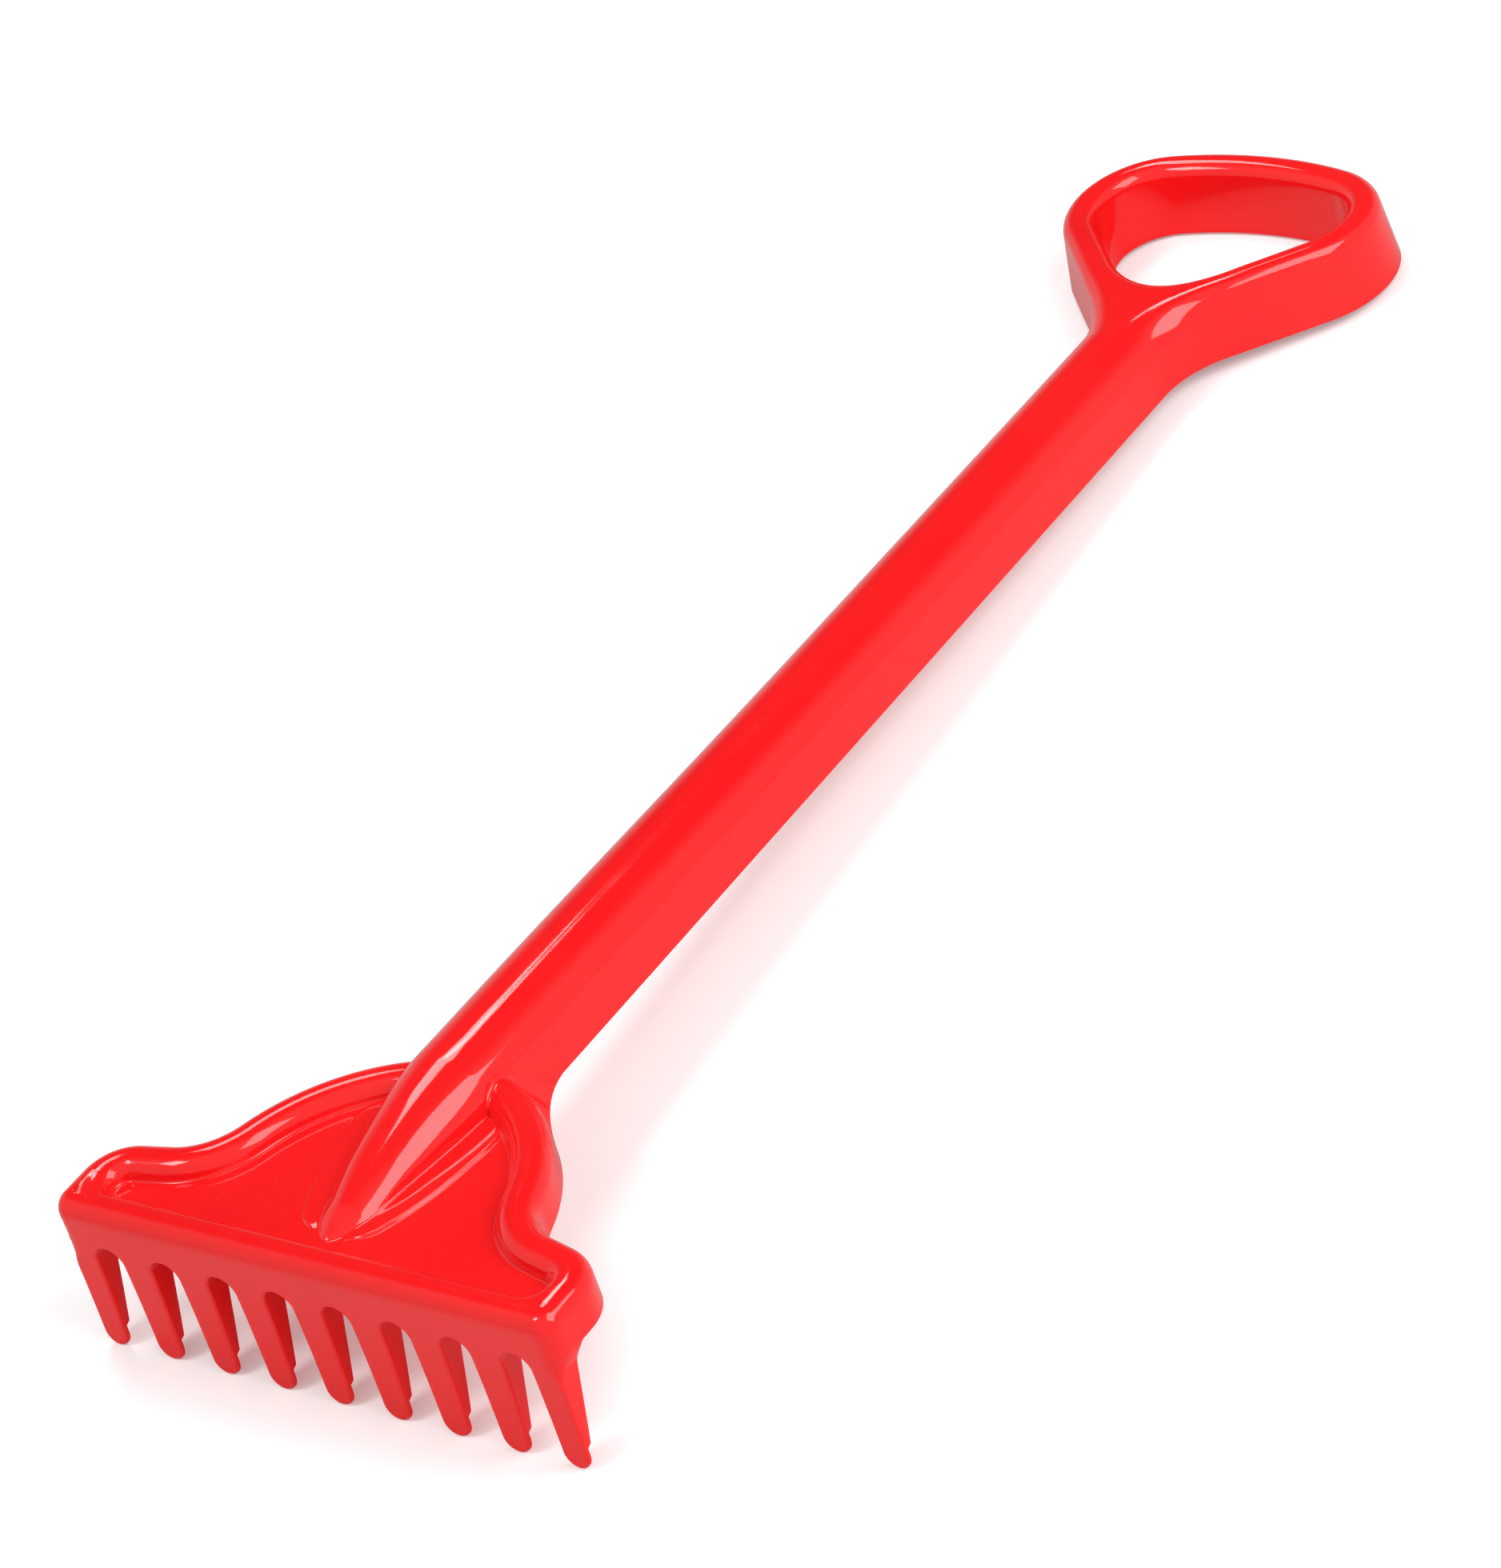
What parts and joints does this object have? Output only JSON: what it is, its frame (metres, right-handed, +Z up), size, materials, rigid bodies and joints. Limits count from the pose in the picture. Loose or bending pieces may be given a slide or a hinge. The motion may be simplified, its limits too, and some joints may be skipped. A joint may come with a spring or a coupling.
{
  "type": "sand rake",
  "caption": "Child's sand rake in glossy plastic with a toothed head, a raised rim, a long hollow shaft and a closed hand grip, moulded as a thin shell that is open underneath.",
  "frame": {"origin": "middle of the bounding box in plan, on the ground plane under the tine tips and the end of the grip", "axes": "+X along the rake from the tines to the grip, +Y across the head, +Z up, in the pose in which the rake rests on a floor"},
  "size_m": [0.4734, 0.1544, 0.0473],
  "materials": {
    "red_plastic": "glossy bright red moulded plastic"
  },
  "bodies": {
    "root": {"grip_far_bar": "red_plastic", "grip_corner_left": "red_plastic", "grip_corner_right": "red_plastic", "grip_side_left": "red_plastic", "grip_side_right": "red_plastic", "grip_neck": "red_plastic", "shaft": "red_plastic", "nose": "red_plastic", "head_plate": "red_plastic", "rim_ear_left": "red_plastic", "rim_ear_right": "red_plastic", "rim_flank_left": "red_plastic", "rim_flank_right": "red_plastic", "rim_waist_left": "red_plastic", "rim_waist_right": "red_plastic", "rim_shoulder_left": "red_plastic", "rim_shoulder_right": "red_plastic", "front_bead": "red_plastic", "front_wall": "red_plastic", "end_wall_left": "red_plastic", "end_wall_right": "red_plastic", "tine_1": "red_plastic", "tine_2": "red_plastic", "tine_3": "red_plastic", "tine_4": "red_plastic", "tine_5": "red_plastic", "tine_6": "red_plastic", "tine_7": "red_plastic", "tine_8": "red_plastic", "tine_9": "red_plastic"}
  },
  "joints": []
}
